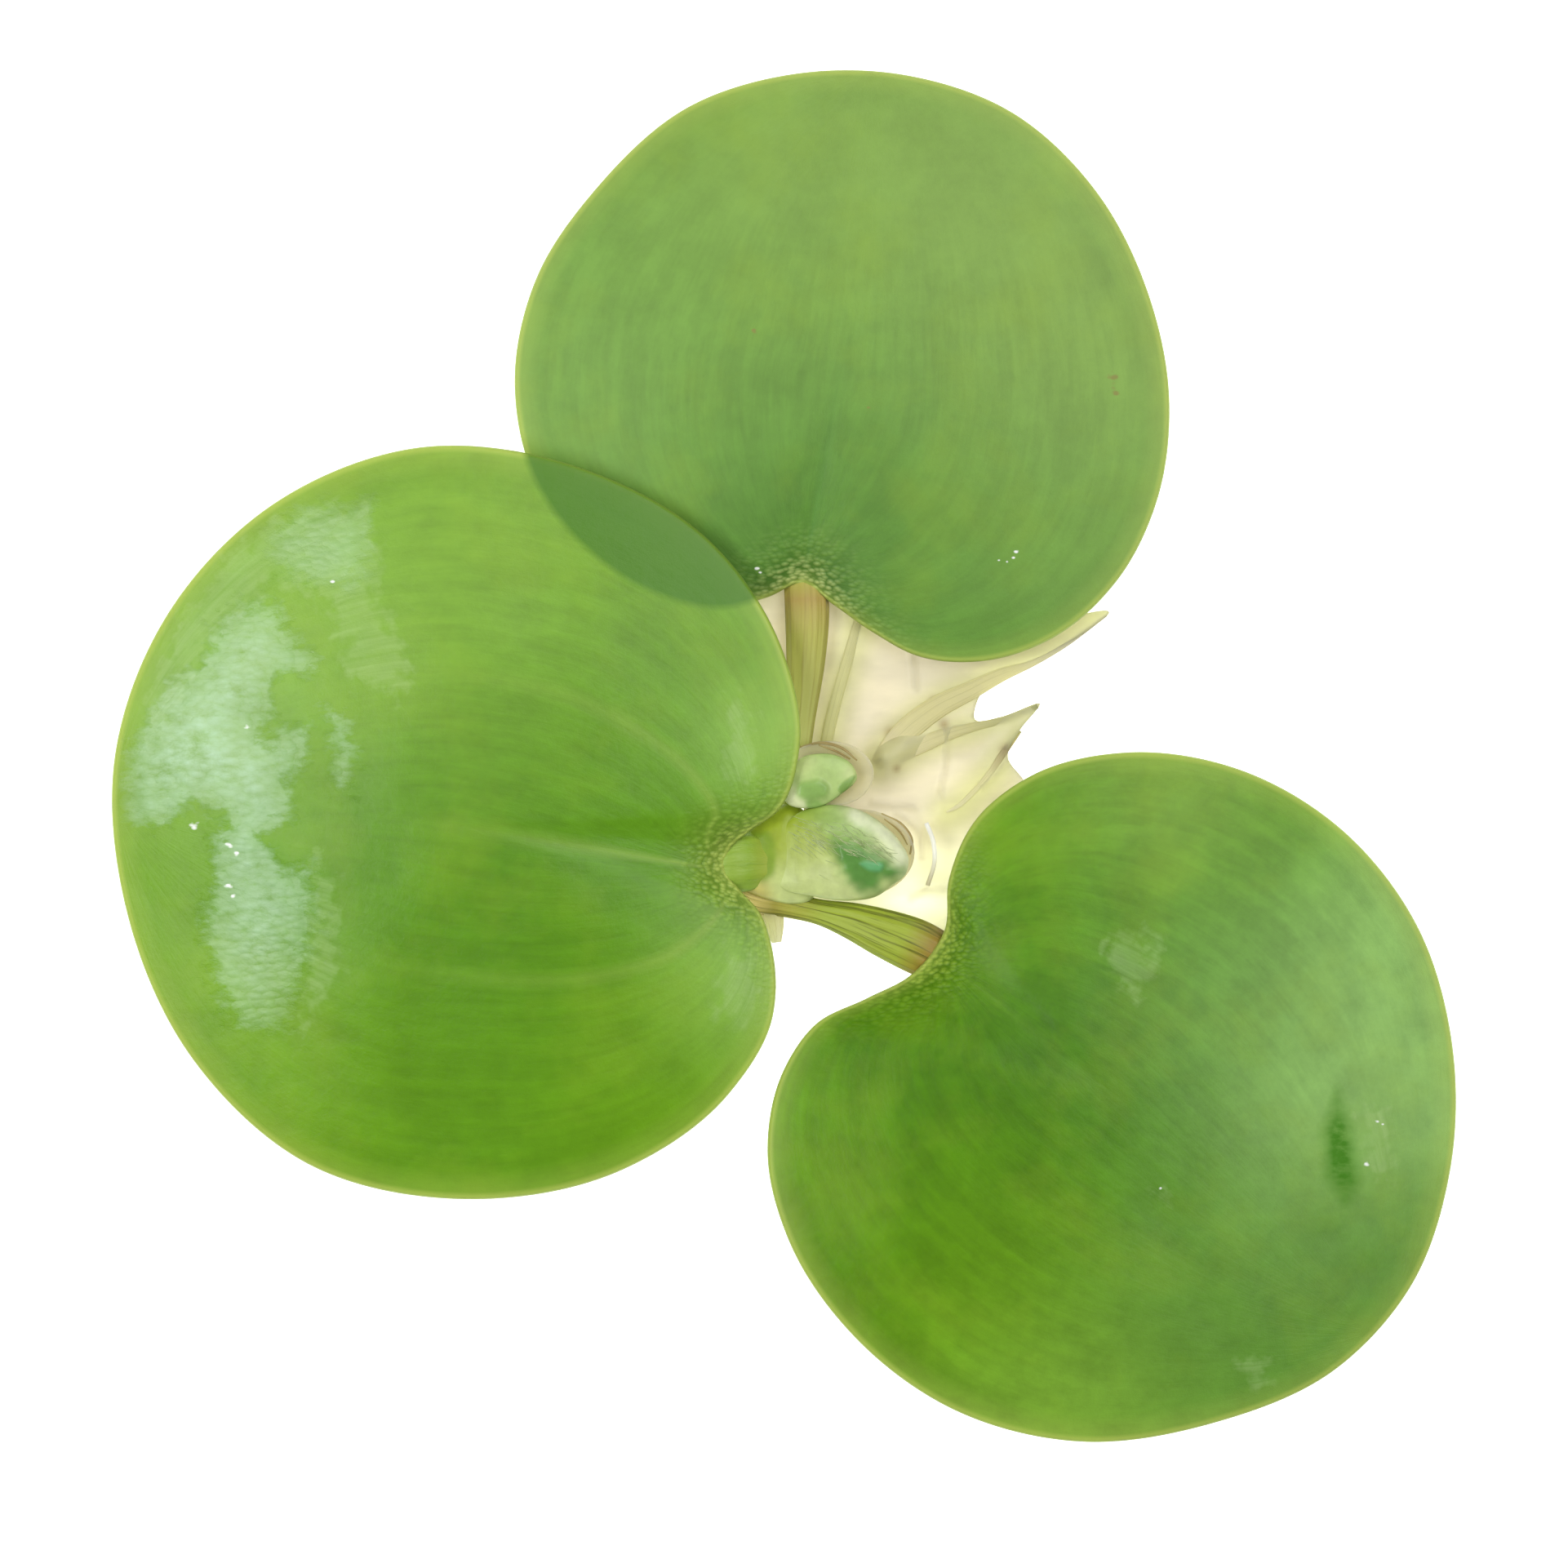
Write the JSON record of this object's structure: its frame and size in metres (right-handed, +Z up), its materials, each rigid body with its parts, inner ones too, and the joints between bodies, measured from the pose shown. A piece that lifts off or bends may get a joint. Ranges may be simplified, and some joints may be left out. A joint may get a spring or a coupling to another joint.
{
  "type": "frogbit plant",
  "caption": "Small floating water plant lying on a surface: round domed heart-based leaves on short stalks from one crown, with a rolled young leaf, papery scales and pale roots.",
  "frame": {"origin": "centre of the crown's flat foot, on the surface that the plant rests on", "axes": "+Z up out of the resting surface; +Y from the crown towards the upper leaf (leaf_top), upward in the picture; +X to the right in the picture, towards leaf_right, with leaf_left on the -X side"},
  "size_m": [0.0494, 0.0505, 0.0039],
  "materials": {
    "leaf": "smooth wet waxy green leaf with fine lines along the veins, softly shiny",
    "leaf_dull": "dry matt grey-green leaf with faint upright lines",
    "petiole": "ribbed olive stalk with brown streaks, satin",
    "young_tissue": "soft pale green young growth, moist",
    "root": "pale cream-green root strand, moist and slightly see-through",
    "papery_tissue": "thin clear wet film, cream, see-through"
  },
  "bodies": {
    "root": {"leaf_left": "leaf", "leaf_top": "leaf_dull", "leaf_right": "leaf", "petiole_left": "petiole", "petiole_top": "petiole", "petiole_right": "petiole", "crown": "young_tissue", "young_leaf": "young_tissue", "leaf_bud": "young_tissue", "stolon_stub": "root", "stipule_bud": "papery_tissue", "stipule_inner": "papery_tissue", "stipule_outer": "papery_tissue", "root_film": "papery_tissue", "root_upper": "root", "root_long": "root", "root_short": "root", "root_low": "root"}
  },
  "joints": []
}
